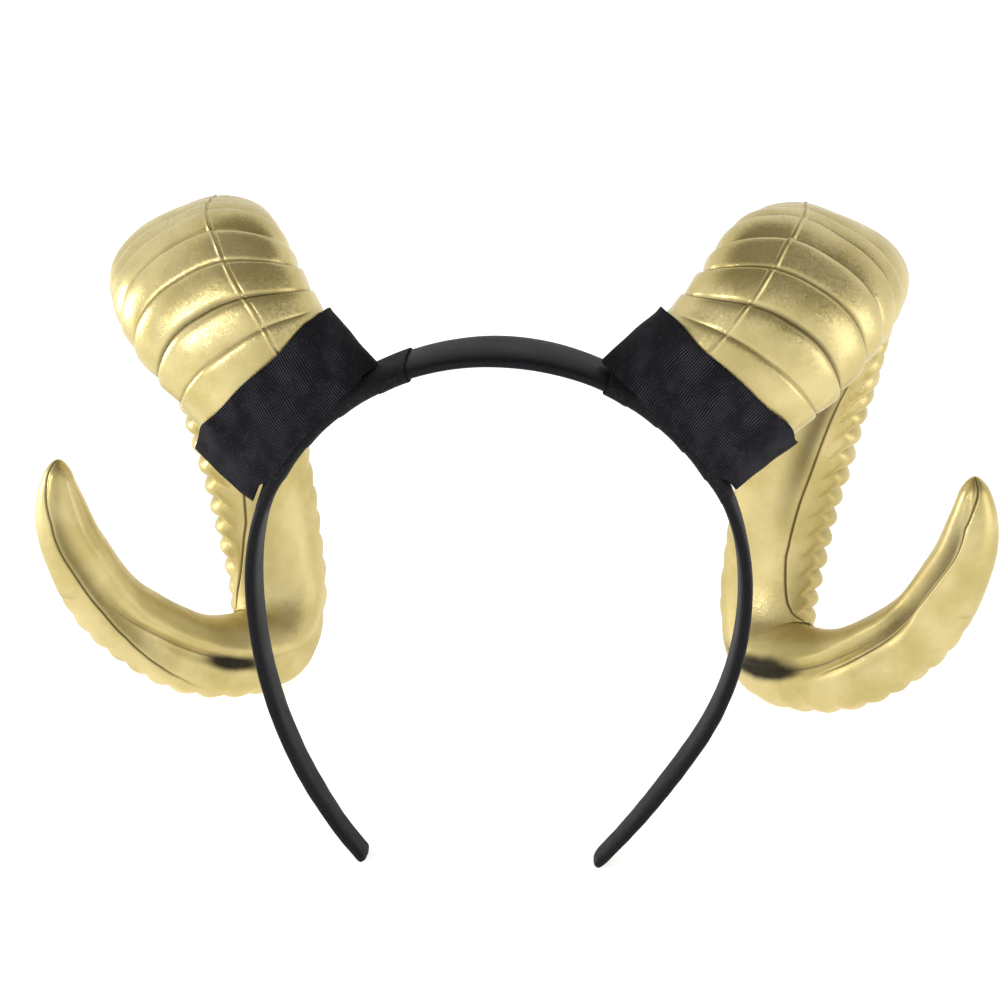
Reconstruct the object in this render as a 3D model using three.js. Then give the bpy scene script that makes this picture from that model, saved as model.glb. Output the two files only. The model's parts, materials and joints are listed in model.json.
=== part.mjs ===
// A headband with a pair of curled, ribbed ram horns, resting on its two ends and the backs of its horns.
// Millimetres, +Z up. It is built as it is worn (X to the right, Y backwards, Z up, the arch's centre
// at zero) and then leaned back until it rests.
import * as THREE from 'three';

const degrees = Math.PI / 180;

// Gap kept between pieces that touch on the real thing
const clearance = 0.3;

// Hoop: a strip bent to a half circle, with a leg at each side that curls in below it
const band = {
  archRadius: 67,       // outer face
  thickness: { top: 4.2, side: 3.3, end: 2.9 },
  width: { top: 21, side: 11.5, end: 9 },      // front to back
  legDrop: 81.5,          // ends below the arch's centre
  legBend: {            // each leg: radius below the arch, degrees it keeps it, radius after that
    left: { upper: 135, turn: 8, lower: 128 },
    right: { upper: 87, turn: 31, lower: 242 },
  },
  endRound: 2.2,        // length over which an end is rounded off
  sections: 36,         // along the arch
};

// Ribbon wound round the hoop under each horn
const binding = {
  wall: 1,
  startAngle: { left: 20, right: 26 },   // degrees from the top of the arch
  endAngle: { left: 71, right: 65 },
  sections: 10,
};

// Wide ribbon round each horn's root
const cuff = {
  wall: 1.2,
  height: 15.5,         // along the horn
  flare: {              // how far its folds stand off the horn, at the head's side and away from it
    left: { head: 0.7, side: 3.2 },
    right: { head: 0.7, side: 1.6 },
  },
  sections: 4,
};

// Horn
const horn = {
  mountAngle: 45,       // on the arch, from its side
  rootSlide: { left: -2, right: 1.5 },   // degrees that each root sits further up the arch
  spread: 82,           // its tip outwards of its root
  depth: 96,            // its back behind its root
  height: 125,          // its top above its bottom
  breadth: 48.5,        // widest section, across
  thickness: 30,        // widest section, through
  segments: 16,
  firstRib: 23.5,       // along the centre line, from the root
  lastRib: 300,
  tipSections: 5,       // between the last rib and the tip
  ribPitch: { root: 7.7, tip: 6.4 },
  ribSkew: { slant: 3.5, bow: 5 },   // how far a rib slants across the horn and bows back at both sides
  ribDepth: 1.3,
  knuckle: 1.5,         // ribs' height where they end at the outer edge
  channel: 3.8,         // valley along the front of the last turn
  channelAngle: 335,    // its place round the section
  seamRidge: 0.4,
};

// Stations of the horn's centre line, as shares: out of the spread, back of the depth, up of the
// height, all from the root; wide of the breadth and deep of the thickness; turn in degrees about
// the centre line; rib, edge and channel as shares of their depths, skew of the ribs' skew.
const stationNames = ['out', 'back', 'up', 'wide', 'deep', 'turn', 'rib', 'skew', 'edge', 'channel'];
const stationRows = [
  [0.000, 0.000, 0.000, 0.91, 0.55, 0, 0.0, 0.0, 0.0, 0.0],
  [0.074, 0.004, 0.046, 0.91, 0.78, 0, 0.0, 0.3, 0.0, 0.0],
  [0.140, 0.016, 0.086, 0.92, 0.98, 4, 0.0, 0.6, 0.0, 0.0],
  [0.266, 0.060, 0.176, 0.98, 0.98, 10, 1.0, 1.0, 0.0, 0.0],
  [0.350, 0.161, 0.231, 1.00, 0.95, 14, 1.0, 1.0, 0.0, 0.0],
  [0.405, 0.303, 0.241, 0.97, 0.92, 16, 1.0, 1.0, 0.1, 0.0],
  [0.432, 0.445, 0.231, 0.93, 0.89, 18, 1.0, 1.0, 0.3, 0.0],
  [0.446, 0.626, 0.175, 0.87, 0.86, 18, 1.0, 1.0, 0.6, 0.0],
  [0.453, 0.802, 0.054, 0.81, 0.82, 18, 1.0, 1.0, 0.9, 0.0],
  [0.436, 0.953, -0.134, 0.75, 0.78, 18, 1.0, 0.9, 1.0, 0.0],
  [0.394, 1.010, -0.340, 0.69, 0.75, 16, 0.9, 0.8, 1.0, 0.0],
  [0.344, 1.016, -0.550, 0.64, 0.74, 14, 0.8, 0.6, 0.9, 0.0],
  [0.312, 0.979, -0.726, 0.60, 0.75, 12, 0.7, 0.4, 0.6, 0.1],
  [0.330, 0.896, -0.812, 0.56, 0.77, 10, 0.6, 0.2, 0.3, 0.4],
  [0.433, 0.786, -0.820, 0.51, 0.79, 6, 0.6, 0.0, 0.1, 0.8],
  [0.614, 0.688, -0.780, 0.46, 0.78, 0, 0.5, 0.0, 0.0, 1.0],
  [0.832, 0.599, -0.646, 0.41, 0.72, 0, 0.3, 0.0, 0.0, 0.9],
  [0.940, 0.533, -0.479, 0.34, 0.60, 0, 0.1, 0.0, 0.0, 0.6],
  [0.974, 0.519, -0.362, 0.25, 0.45, 0, 0.0, 0.0, 0.0, 0.2],
  [0.968, 0.510, -0.257, 0.05, 0.09, 0, 0.0, 0.0, 0.0, 0.0],
];

// Value of a table's column at a row number with a fraction, on a smooth curve through the rows
function smoothColumn(column, at) {
  const last = stationRows.length - 1;
  const index = Math.min(Math.floor(at), last - 1);
  const share = at - index;
  const row = (i) => stationRows[Math.max(0, Math.min(last, i))][column];
  const [a, b, c, d] = [row(index - 1), row(index), row(index + 1), row(index + 2)];
  return b + 0.5 * share * (c - a + share * (2 * a - 5 * b + 4 * c - d
    + share * (3 * (b - c) + d - a)));
}

function stationAt(at) {
  return Object.fromEntries(stationNames.map((name, i) => [name, smoothColumn(i, at)]));
}

// Radius at which a horn's root and its cuff sit on the bound arch
const seatRadius = band.archRadius + clearance + binding.wall + clearance;
const rootOut = seatRadius * Math.cos(horn.mountAngle * degrees);
const rootUp = seatRadius * Math.sin(horn.mountAngle * degrees);

function hornCentre(at) {
  const s = stationAt(at);
  return new THREE.Vector3(
    rootOut + s.out * horn.spread, s.back * horn.depth, rootUp + s.up * horn.height);
}

// Frame of a horn's section: along the horn, outer (away from the curl's axis, and near the tip
// away from the head) and across
function hornFrame(at) {
  const step = 0.02;
  const last = stationRows.length - 1;
  const ahead = hornCentre(Math.min(last, at + step));
  const along = ahead.sub(hornCentre(Math.max(0, at - step))).normalize();
  if (at < 1) {
    const radial = new THREE.Vector3(rootOut, 0, rootUp).normalize();
    along.lerp(radial, 1 - at).normalize();
  }
  const centre = hornCentre(at);
  const { out, back, turn } = stationAt(at);
  const towardsTip = THREE.MathUtils.smoothstep(at, last - 4, last - 1);
  const outer = new THREE.Vector3(
    towardsTip * (out - 0.5) * horn.spread, (back - 0.5) * horn.depth, centre.z - rootUp);
  outer.addScaledVector(along, -outer.dot(along)).normalize();
  outer.applyAxisAngle(along, turn * degrees);
  const across = new THREE.Vector3().crossVectors(outer, along);
  return { centre, along, outer, across };
}

// Centre line measured out, to find the row number at a length from the root
const lineSteps = 600;
const lineRows = Array.from({ length: lineSteps + 1 }, (_, i) => i * (stationRows.length - 1) / lineSteps);
const lineLengths = [0];
lineRows.slice(1).forEach((row, i) => {
  lineLengths.push(lineLengths[i] + hornCentre(row).distanceTo(hornCentre(lineRows[i])));
});
const hornLength = lineLengths[lineSteps];

function rowAtLength(length) {
  const i = Math.max(1, lineLengths.findIndex((l) => l >= Math.min(length, hornLength - 1e-6)));
  const share = (length - lineLengths[i - 1]) / (lineLengths[i] - lineLengths[i - 1]);
  return THREE.MathUtils.lerp(lineRows[i - 1], lineRows[i], THREE.MathUtils.clamp(share, 0, 1));
}

// Lengths from the root at which the ribs meet, closer and closer towards the tip
const ribLengths = [horn.firstRib];
while (ribLengths.at(-1) < horn.lastRib) {
  const share = (ribLengths.at(-1) - horn.firstRib) / (horn.lastRib - horn.firstRib);
  ribLengths.push(ribLengths.at(-1) + THREE.MathUtils.lerp(horn.ribPitch.root, horn.ribPitch.tip, share));
}

// How full a rib stands at a length: 0 in the groove between two ribs, 1 on a rib's back
function ribFullness(length) {
  const next = ribLengths.findIndex((l) => l > length);
  if (next < 1) return 1;
  const share = (length - ribLengths[next - 1]) / (ribLengths[next] - ribLengths[next - 1]);
  return Math.pow(Math.sin(Math.PI * share), 0.45);
}

const bump = (angle, centre, width) => {
  const away = Math.abs(((angle - centre + 540) % 360) - 180);
  return Math.exp(-((away / width) ** 2));
};

const noFlare = { head: 0, side: 0 };

// Point on a horn's skin: row number, angle round the section in degrees (0 across, towards the
// head at the root; 90 outer; 180 away from the head; 270 inner), gap outside it and share of its size
function hornPoint(at, length, angle, gap = 0, share = 1, flare = noFlare) {
  const s = stationAt(at);
  const frame = hornFrame(at);
  const [c, d] = [Math.cos(angle * degrees), Math.sin(angle * degrees)];
  const round = (v) => Math.sign(v) * Math.abs(v) ** 0.86;
  const halfWide = s.wide * horn.breadth / 2;
  const halfDeep = s.deep * horn.thickness / 2;
  const ribbed = 0.5 + 0.5 * Math.tanh((d + 0.35) * 6);
  const groove = s.rib * ribbed * (1 - ribFullness(length)) * horn.ribDepth;
  const knuckle = s.edge * bump(angle, 200, 26) * ribFullness(length) * horn.knuckle;
  const valley = s.channel * bump(angle, horn.channelAngle, 24) * horn.channel;
  const seam = bump(angle, 70, 16) * horn.seamRidge * Math.min(1, s.wide * 2 - 0.3);
  const swell = gap - groove + knuckle - valley + seam;
  const fold = Math.abs(c) ** 22 * (c < 0 ? -flare.side : flare.head);
  const u = (round(c) * (halfWide + swell) + fold) * share;
  const v = round(d) * (halfDeep + swell) * share;
  const seatShare = Math.max(0, 1 - at / 1.6);
  const drop = seatRadius - Math.sqrt(seatRadius ** 2 - u ** 2);
  return frame.centre.clone()
    .addScaledVector(frame.across, u)
    .addScaledVector(frame.outer, v)
    .addScaledVector(frame.along, -drop * seatShare);
}

// A horn's root and cuff slid round the arch, which leaves the rest of the horn where it is
function slideRoot(point, side) {
  const above = Math.hypot(point.x, point.z) - seatRadius;
  const share = (1 - THREE.MathUtils.smoothstep(above, 0, 30)) * (1 - THREE.MathUtils.smoothstep(point.y, 18, 45));
  return point.applyAxisAngle(new THREE.Vector3(0, -1, 0), horn.rootSlide[side] * degrees * share);
}

// How much nearer the root a rib runs at an angle round the horn than at its crest
function ribLag(length, angle) {
  const c = Math.cos(angle * degrees);
  const { slant, bow } = horn.ribSkew;
  return stationAt(rowAtLength(length)).skew * (slant * c + bow * c * c);
}

const slideRing = (ring, side) => ring.map((point) => slideRoot(point, side));

// Ring round the horn that follows the ribs, or a level one
function hornRing(length, options = {}) {
  return Array.from({ length: horn.segments }, (_, i) => {
    const angle = 360 * i / horn.segments;
    const at = rowAtLength(options.level ? length : length - ribLag(length, angle));
    return hornPoint(at, length, angle, options.gap, options.share, options.flare);
  });
}

// Closed skin through rings of points that run anticlockwise seen from the last ring. Each end is
// closed by a fan to its point; with no end points the last ring joins the first.
function loft(rings, mirrored, startPoint, endPoint) {
  const side = mirrored ? -1 : 1;
  const points = rings.flat();
  const count = rings[0].length;
  const faces = [];
  const quad = (a, b, c, d) => {
    const even = points[a].distanceTo(points[c]) <= points[b].distanceTo(points[d]);
    faces.push(...(even ? [[a, b, c], [a, c, d]] : [[a, b, d], [b, c, d]]));
  };
  const rows = startPoint ? rings.length - 1 : rings.length;
  for (let r = 0; r < rows; r += 1) {
    for (let i = 0; i < count; i += 1) {
      const j = (i + 1) % count;
      const above = ((r + 1) % rings.length) * count;
      quad(r * count + i, r * count + j, above + j, above + i);
    }
  }
  if (startPoint) {
    const start = points.push(startPoint) - 1;
    const end = points.push(endPoint) - 1;
    const last = (rings.length - 1) * count;
    for (let i = 0; i < count; i += 1) {
      const j = (i + 1) % count;
      faces.push([start, j, i], [end, last + i, last + j]);
    }
  }
  const geometry = new THREE.BufferGeometry();
  geometry.setAttribute('position', new THREE.Float32BufferAttribute(
    points.flatMap((p) => [side * p.x, p.y, p.z]), 3));
  geometry.setIndex(faces.flatMap(([a, b, c]) => (mirrored ? [a, c, b] : [a, b, c])));
  geometry.computeVertexNormals();
  return geometry;
}

// Half section of the strip: inwards from the crest as a share of the thickness, and sideways as a
// share of the width
const stripSection = [
  [0.00, 0.00], [0.04, 0.20], [0.16, 0.38], [0.42, 0.49], [0.72, 0.50], [1.00, 0.42],
];

// Arcs of a half of the strip's outer face, on the right: centre, radius and the angles that it
// starts and ends at, measured down from the top
function stripArcs(side) {
  const { upper, turn, lower } = band.legBend[side];
  const quarter = 90 * degrees;
  const bent = quarter + turn * degrees;
  const arch = { x: 0, z: 0, radius: band.archRadius, start: 0, end: quarter };
  const first = { x: band.archRadius - upper, z: 0, radius: upper, start: quarter, end: bent };
  const second = {
    x: first.x + (upper - lower) * Math.sin(bent), z: (upper - lower) * Math.cos(bent), radius: lower,
    start: bent };
  second.end = quarter + Math.asin((band.legDrop + second.z) / lower);
  return [arch, first, second];
}

const arcLength = (arc) => arc.radius * (arc.end - arc.start);
const archLength = band.archRadius * 90 * degrees;
const stripLength = (side) => stripArcs(side).reduce((sum, arc) => sum + arcLength(arc), 0);

// Point and outward direction on the strip's outer face, at a length from the top of the arch
function stripAt(length, side) {
  const arcs = stripArcs(side);
  let rest = length;
  while (arcs.length > 1 && rest > arcLength(arcs[0])) rest -= arcLength(arcs.shift());
  const [arc] = arcs;
  const angle = arc.start + rest / arc.radius;
  const outward = new THREE.Vector3(Math.sin(angle), 0, Math.cos(angle));
  return { point: new THREE.Vector3(arc.x, 0, arc.z).addScaledVector(outward, arc.radius), outward };
}

// A size of the strip that goes from its value at the top to its value at the side and at the end
function stripSize(sizes, length, side) {
  if (length < archLength) {
    return THREE.MathUtils.lerp(sizes.top, sizes.side, THREE.MathUtils.smoothstep(length / archLength, 0, 1));
  }
  return THREE.MathUtils.lerp(sizes.side, sizes.end, (length - archLength) / (stripLength(side) - archLength));
}

// Ring round the strip, standing a gap outside it, on the right of the arch
function stripRing(length, side, gap = 0, share = 1) {
  const { point, outward } = stripAt(length, side);
  const full = stripSize(band.thickness, length, side);
  const width = stripSize(band.width, length, side) * share + 2 * gap;
  const thickness = full * share + 2 * gap;
  const inset = full * (1 - share) / 2 - gap;
  const corner = ([inwards, sideways]) => point.clone()
    .addScaledVector(outward, -inset - inwards * thickness)
    .setY(sideways * width);
  const back = stripSection.map(corner);
  const front = stripSection.slice(1).reverse().map(([i, s]) => corner([i, -s]));
  return [...back, ...front].reverse();
}

const mirrorX = (ring) => ring.map((p) => new THREE.Vector3(-p.x, p.y, p.z));

// Rings of one half of the strip, from the top of the arch to the end of its leg
function halfStrip(side) {
  const half = band.sections / 2;
  const step = archLength / half;
  const arch = Array.from({ length: half }, (_, i) => step * (i + 0.5));
  const whole = stripLength(side) - band.endRound;
  const legSteps = Math.round((whole - archLength) / step / 1.15);
  const leg = Array.from({ length: legSteps + 1 }, (_, i) => (
    archLength + (whole - archLength) * i / legSteps));
  const body = [...arch, ...leg].map((l) => stripRing(l, side));
  const rounding = [[0.6, 0.86], [1, 0.55]].map(([along, share]) => (
    stripRing(whole + band.endRound * along, side, 0, share)));
  return [...body, ...rounding];
}

function ringCentre(ring) {
  const sum = ring.reduce((s, p) => s.add(p), new THREE.Vector3());
  return sum.divideScalar(ring.length);
}

function headband() {
  const right = halfStrip('right');
  const left = halfStrip('left').map(mirrorX).reverse();
  const rings = [...left, ...right];
  return loft(rings, false, ringCentre(rings[0]), ringCentre(rings.at(-1)));
}

// A sleeve: its outer rings one way and its inner rings back again
const sleeve = (outer, inner, mirrored) => loft([...outer, ...inner.reverse()], mirrored);

function bandBinding(side) {
  const [from, to] = [binding.startAngle[side], binding.endAngle[side]]
    .map((angle) => angle * degrees * band.archRadius);
  const rings = (gap) => Array.from({ length: binding.sections + 1 }, (_, i) => (
    stripRing(from + (to - from) * i / binding.sections, side, gap)));
  return sleeve(rings(clearance + binding.wall), rings(clearance), side === 'left');
}

function hornCuff(side) {
  const lengths = Array.from({ length: cuff.sections + 1 }, (_, i) => cuff.height * i / cuff.sections);
  const rings = (gap) => lengths.map((l) => (
    slideRing(hornRing(l, { level: true, gap, flare: cuff.flare[side] }), side)));
  return sleeve(rings(clearance + cuff.wall), rings(clearance), side === 'left');
}

function ramHorn(side) {
  const lengths = Array.from({ length: cuff.sections + 1 }, (_, i) => cuff.height * i / cuff.sections);
  ribLengths.forEach((l, i) => {
    const next = ribLengths[i + 1] ?? l + horn.ribPitch.tip;
    [0, 0.22, 0.7].forEach((share) => lengths.push(l + (next - l) * share));
  });
  const smooth = hornLength - lengths.at(-1);
  for (let i = 1; i <= horn.tipSections; i += 1) {
    lengths.push(hornLength - smooth * (1 - i / (horn.tipSections + 0.25)) ** 1.3);
  }
  const seat = [0.25, 0.5, 0.75].map((share) => hornRing(0, { share }));
  const rings = [...seat, ...lengths.map((l) => hornRing(l))].map((ring) => slideRing(ring, side));
  const root = slideRoot(hornCentre(0), side);
  return loft(rings, side === 'left', root, hornCentre(stationRows.length - 1));
}

const finishes = {
  satin: { color: 0x1b1b1e, roughness: 0.45, metalness: 0 },
  ribbon: { color: 0x0d0d10, roughness: 0.85, metalness: 0 },
  gold: { color: 0xcdbd7c, roughness: 0.35, metalness: 0.8 },
};

function piece(name, geometry, finish) {
  const mesh = new THREE.Mesh(geometry, new THREE.MeshStandardMaterial(finishes[finish]));
  mesh.name = name;
  return mesh;
}

const worn = new THREE.Group();
worn.name = 'worn';
worn.add(piece('headband', headband(), 'satin'));
for (const side of ['left', 'right']) {
  worn.add(piece(`band_binding_${side}`, bandBinding(side), 'ribbon'));
  worn.add(piece(`horn_cuff_${side}`, hornCuff(side), 'ribbon'));
  worn.add(piece(`horn_${side}`, ramHorn(side), 'gold'));
}

// Lowest point of the named pieces when the whole thing leans back by an angle
function lowest(names, lean) {
  const heights = names.flatMap((name) => {
    const { position } = worn.getObjectByName(name).geometry.attributes;
    return Array.from({ length: position.count }, (_, i) => (
      position.getZ(i) * Math.cos(lean) - position.getY(i) * Math.sin(lean)));
  });
  return Math.min(...heights);
}

// Lean at which the ends of the hoop and the horns stand on the same level
function restLean() {
  let [low, high] = [0, 80 * degrees];
  for (let i = 0; i < 50; i += 1) {
    const lean = (low + high) / 2;
    if (lowest(['headband'], lean) < lowest(['horn_left', 'horn_right'], lean)) low = lean;
    else high = lean;
  }
  return (low + high) / 2;
}

const lean = restLean();
worn.rotation.x = -lean;
worn.updateMatrixWorld(true);
const box = new THREE.Box3().setFromObject(worn, true);
worn.position.set(0, -(box.min.y + box.max.y) / 2, -box.min.z);

const ramHornHeadband = new THREE.Group();
ramHornHeadband.add(worn);
export default ramHornHeadband;
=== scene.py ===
# A headband with gold ram horns, dressed round its solids: painted foam horns, ribbon cuffs and
# bindings, and a satin hoop.
import json
import math

import bpy
import numpy as np
from mathutils import Matrix, Vector


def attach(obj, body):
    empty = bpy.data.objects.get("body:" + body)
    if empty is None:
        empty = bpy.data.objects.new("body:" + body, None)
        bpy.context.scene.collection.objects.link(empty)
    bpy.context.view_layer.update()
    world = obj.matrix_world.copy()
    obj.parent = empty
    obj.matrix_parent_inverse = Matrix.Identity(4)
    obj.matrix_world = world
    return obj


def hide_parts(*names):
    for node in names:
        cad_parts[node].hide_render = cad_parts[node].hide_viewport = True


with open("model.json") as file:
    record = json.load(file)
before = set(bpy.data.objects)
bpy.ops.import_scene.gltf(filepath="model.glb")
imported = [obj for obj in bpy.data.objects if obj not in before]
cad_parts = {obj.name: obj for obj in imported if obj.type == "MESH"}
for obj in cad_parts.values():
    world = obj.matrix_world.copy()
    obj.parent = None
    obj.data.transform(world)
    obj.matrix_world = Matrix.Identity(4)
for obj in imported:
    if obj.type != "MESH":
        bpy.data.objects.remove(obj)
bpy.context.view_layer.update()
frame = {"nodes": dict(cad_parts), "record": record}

print("frame loaded with", len(frame["nodes"]), "solids")

# Shapes are worked out in millimetres in the frame in which the headband is worn: X to the right,
# Y backwards, Z up, the arch's centre at zero. The part leans back from it, by its mount's axis.
millimetre = 0.001
clearance = 0.3
crownMount = next(mount for mount in frame["record"]["mounts"] if mount["name"] == "crown_inside")
crownUp = -Vector(crownMount["axis"])
leanBack = math.atan2(crownUp.y, crownUp.z)

hoop = {
    "archRadius": 67.0,
    "thickness": (4.2, 3.3, 2.9),  # at the top, the side and the end
    "width": (21.0, 11.5, 9.0),
    "legDrop": 81.5,
    "legs": {"left": (135.0, 8.0, 128.0), "right": (87.0, 31.0, 242.0)},  # radius, degrees, radius
    "endRound": {"left": 1.4, "right": 3.2},
    "endRings": ((0.35, 0.97), (0.7, 0.88), (0.92, 0.7), (1.0, 0.45)),  # shares of rounding and of size
    "facets": 36,  # of the solid's arch
    "archRows": 110,
    "legRows": 90,
    "columns": 56,
    "sectionPower": 3.4,
    "crown": 0.17,  # how much lower the outer face is at its edges, as a share of half its thickness
    "legFrom": (62.0, 88.0),  # degrees from the top over which the legs' own form begins
    "legTwist": 5.0,
    "legFullness": 0.15,  # of the satin over the strip, on each face
    "endFade": 30.0,  # the legs' own form fades over this length at their ends
    "slackSize": 14.0,
    "creaseSize": 3.0,
    "creaseStretch": 0.35,  # width of a crease over its length, as they run along the legs
    "creaseDrop": (-10, 40),  # depth below the arch's centre over which they begin
    "wrinkle": 0.05,
}


def toRest(points):
    # Worn millimetres to metres in the frame.
    crownRadius = (hoop["archRadius"] - hoop["thickness"][0]) * math.cos(math.pi / 2 / hoop["facets"])
    origin = Vector(crownMount["pos_m"]) - crownUp * crownRadius * millimetre
    x, y, z = np.moveaxis(np.asarray(points, float) * millimetre, -1, 0)
    sine, cosine = math.sin(leanBack), math.cos(leanBack)
    return np.stack([x, y * cosine + z * sine, z * cosine - y * sine], -1) + np.array(origin)


# Small tools for shapes
def smoothstep(value, low, high):
    share = np.clip((np.asarray(value, float) - low) / (high - low), 0, 1)
    return share * share * (3 - 2 * share)


def peak(distance, width):
    # A soft hump: 1 at no distance, a third of that at its width
    return np.exp(-((distance / width) ** 2))


def bumpAt(angle, centre, width):
    return peak((angle - centre + 540) % 360 - 180, width)


def shownBetween(length, begin, full, fading, gone):
    return smoothstep(length, begin, full) * (1 - smoothstep(length, fading, gone))


def normalized(vectors):
    return vectors / np.maximum(np.linalg.norm(vectors, axis=-1, keepdims=True), 1e-9)


def unevenness(points, seed, size):
    # A few crossing waves of about that size, from -1 to 1, for what was made by hand.
    rng = np.random.default_rng(seed)
    total = np.zeros(points.shape[:-1])
    waveCount = 8
    for _ in range(waveCount):
        heading = normalized(rng.normal(size=3))
        wave = 2 * np.pi / (size * rng.uniform(0.7, 1.6))
        total += np.sin(points @ heading * wave + rng.uniform(0, 2 * np.pi))
    return total / (waveCount / 2)


def gridNormals(grid):
    # Normals of a grid of points whose columns run once round.
    aroundStep = np.roll(grid, -1, 1) - np.roll(grid, 1, 1)
    alongStep = np.gradient(grid, axis=0)
    return normalized(np.cross(aroundStep, alongStep))


def arcRound(grid):
    # Length round each row of a grid, from its first column.
    steps = np.linalg.norm(np.roll(grid, -1, 1) - grid, axis=-1)
    return np.concatenate([np.zeros((len(grid), 1)), np.cumsum(steps, 1)], 1)


def gridMesh(name, grid, mirrored=False, ends=None, looped=False, masks=None, cloth=None):
    # A closed skin over rows of points. ends are the two points that close it by fans, or looped
    # joins the last row to the first. masks are colours for each point, cloth the place on the flat
    # cloth, in millimetres, with one more column than the grid.
    mirror = np.array([-1 if mirrored else 1, 1, 1])
    grid = grid * mirror
    rows, count = grid.shape[:2]
    points = list(toRest(grid).reshape(-1, 3))
    faces, places = [], []
    for r in range(rows if looped else rows - 1):
        above = (r + 1) % rows
        for i in range(count):
            j = (i + 1) % count
            faces.append([r * count + i, r * count + j, above * count + j, above * count + i])
            places.append([(r, i), (r, i + 1), (r + 1, i + 1), (r + 1, i)])
    if ends is not None:
        points += [toRest(np.array(end) * mirror) for end in ends]
        start, last = rows * count, (rows - 1) * count
        for i in range(count):
            j = (i + 1) % count
            faces.append([start, j, i])
            places.append([(0, i), (0, i + 1), (0, i)])
            faces.append([start + 1, last + i, last + j])
            places.append([(rows - 1, i), (rows - 1, i), (rows - 1, i + 1)])
    if mirrored:
        faces = [face[::-1] for face in faces]
        places = [place[::-1] for place in places]
    mesh = bpy.data.meshes.new(name)
    mesh.from_pydata([tuple(p) for p in points], [], faces)
    mesh.polygons.foreach_set("use_smooth", [True] * len(mesh.polygons))
    if masks is not None:
        layer = mesh.color_attributes.new("masks", "FLOAT_COLOR", "POINT")
        colours = np.zeros((len(points), 4))
        colours[:rows * count, :masks.shape[-1]] = masks.reshape(-1, masks.shape[-1])
        colours[:, 3] = 1
        layer.data.foreach_set("color", colours.ravel())
    if cloth is not None:
        if looped:
            cloth = np.concatenate([cloth, cloth[-1:]], 0)
        flat = [cloth[r, i] for place in places for r, i in place]
        mesh.uv_layers.new(name="cloth").data.foreach_set("uv", np.array(flat).ravel())
    mesh.update()
    piece = bpy.data.objects.new(name, mesh)
    bpy.context.scene.collection.objects.link(piece)
    return piece


# The strip of the hoop
def stripArcs(side):
    # Arcs of half of its outer face: centre, radius, and the angles it runs between.
    upper, turn, lower = hoop["legs"][side]
    radius, quarter = hoop["archRadius"], math.pi / 2
    bent = quarter + math.radians(turn)
    first = (radius - upper, 0.0, upper, quarter, bent)
    x = first[0] + (upper - lower) * math.sin(bent)
    z = (upper - lower) * math.cos(bent)
    return [(0.0, 0.0, radius, 0.0, quarter), first,
            (x, z, lower, bent, quarter + math.asin((hoop["legDrop"] + z) / lower))]


def archLength():
    return hoop["archRadius"] * math.pi / 2


def stripLength(side):
    return sum(radius * (end - start) for _, _, radius, start, end in stripArcs(side))


def stripAt(length, side):
    # Points of the strip's outer face and the way it faces, at lengths from the top.
    length = np.asarray(length, float)
    point, outward = np.zeros(length.shape + (3,)), np.zeros(length.shape + (3,))
    begun = 0.0
    for x, z, radius, start, end in stripArcs(side):
        here = length >= begun - 1e-9
        angle = start + (length[here] - begun) / radius
        outward[here] = np.stack([np.sin(angle), 0 * angle, np.cos(angle)], -1)
        point[here] = np.array([x, 0, z]) + outward[here] * radius
        begun += radius * (end - start)
    return point, outward


def stripSize(sizes, length, side):
    top, middle, end = sizes
    onArch = top + (middle - top) * smoothstep(length / archLength(), 0, 1)
    share = np.clip((length - archLength()) / (stripLength(side) - archLength()), 0, 1)
    return np.where(length < archLength(), onArch, middle + (end - middle) * share)


def stripRing(length, side, count, gap=0.0, share=1.0):
    # Rings round the strip at lengths from the top, as a rounded oblong.
    length = np.asarray(length, float)
    point, outward = stripAt(length, side)
    thickness = stripSize(hoop["thickness"], length, side)
    width = stripSize(hoop["width"], length, side)
    angle = np.linspace(0, 2 * np.pi, count, endpoint=False) + 0.01  # so that no sine or cosine is 0
    power = 2 / hoop["sectionPower"]
    flatWays = np.sign(np.sin(angle)) * np.abs(np.sin(angle)) ** power
    sideways = np.sign(np.cos(angle)) * np.abs(np.cos(angle)) ** power
    middle = point - outward * thickness[..., None] / 2
    onLeg = smoothstep(length / hoop["archRadius"], *np.radians(hoop["legFrom"]))
    beforeEnd = smoothstep(stripLength(side) - length, 0, hoop["endFade"])
    fullness = hoop["legFullness"] * onLeg * beforeEnd
    halfThick = (thickness / 2 * share + gap + fullness)[..., None]
    halfWide = (width / 2 * share + gap)[..., None]
    crown = hoop["crown"] * sideways ** 2 * (flatWays > 0)
    # The legs turn about their front edge, so that their back edge comes in towards the head
    twist = (math.radians(hoop["legTwist"]) * onLeg * (0.5 + 0.5 * beforeEnd))[..., None]
    front = width[..., None] / 2
    out, back = halfThick * (flatWays - crown), halfWide * sideways + front
    turnedOut = out * np.cos(twist) - back * np.sin(twist)
    turnedBack = back * np.cos(twist) + out * np.sin(twist)
    grid = middle[..., None, :] + outward[..., None, :] * turnedOut[..., None]
    grid[..., 1] = grid[..., 1] + turnedBack - front
    return grid


def clothPlaces(grid):
    # Place on the flat cloth: round the piece and along it.
    around = arcRound(grid)
    steps = np.linalg.norm(np.diff(grid.mean(1), axis=0), axis=-1)
    along = np.concatenate([[0], np.cumsum(steps)])
    return np.stack([around, np.repeat(along[:, None], around.shape[1], 1)], -1)


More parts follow.
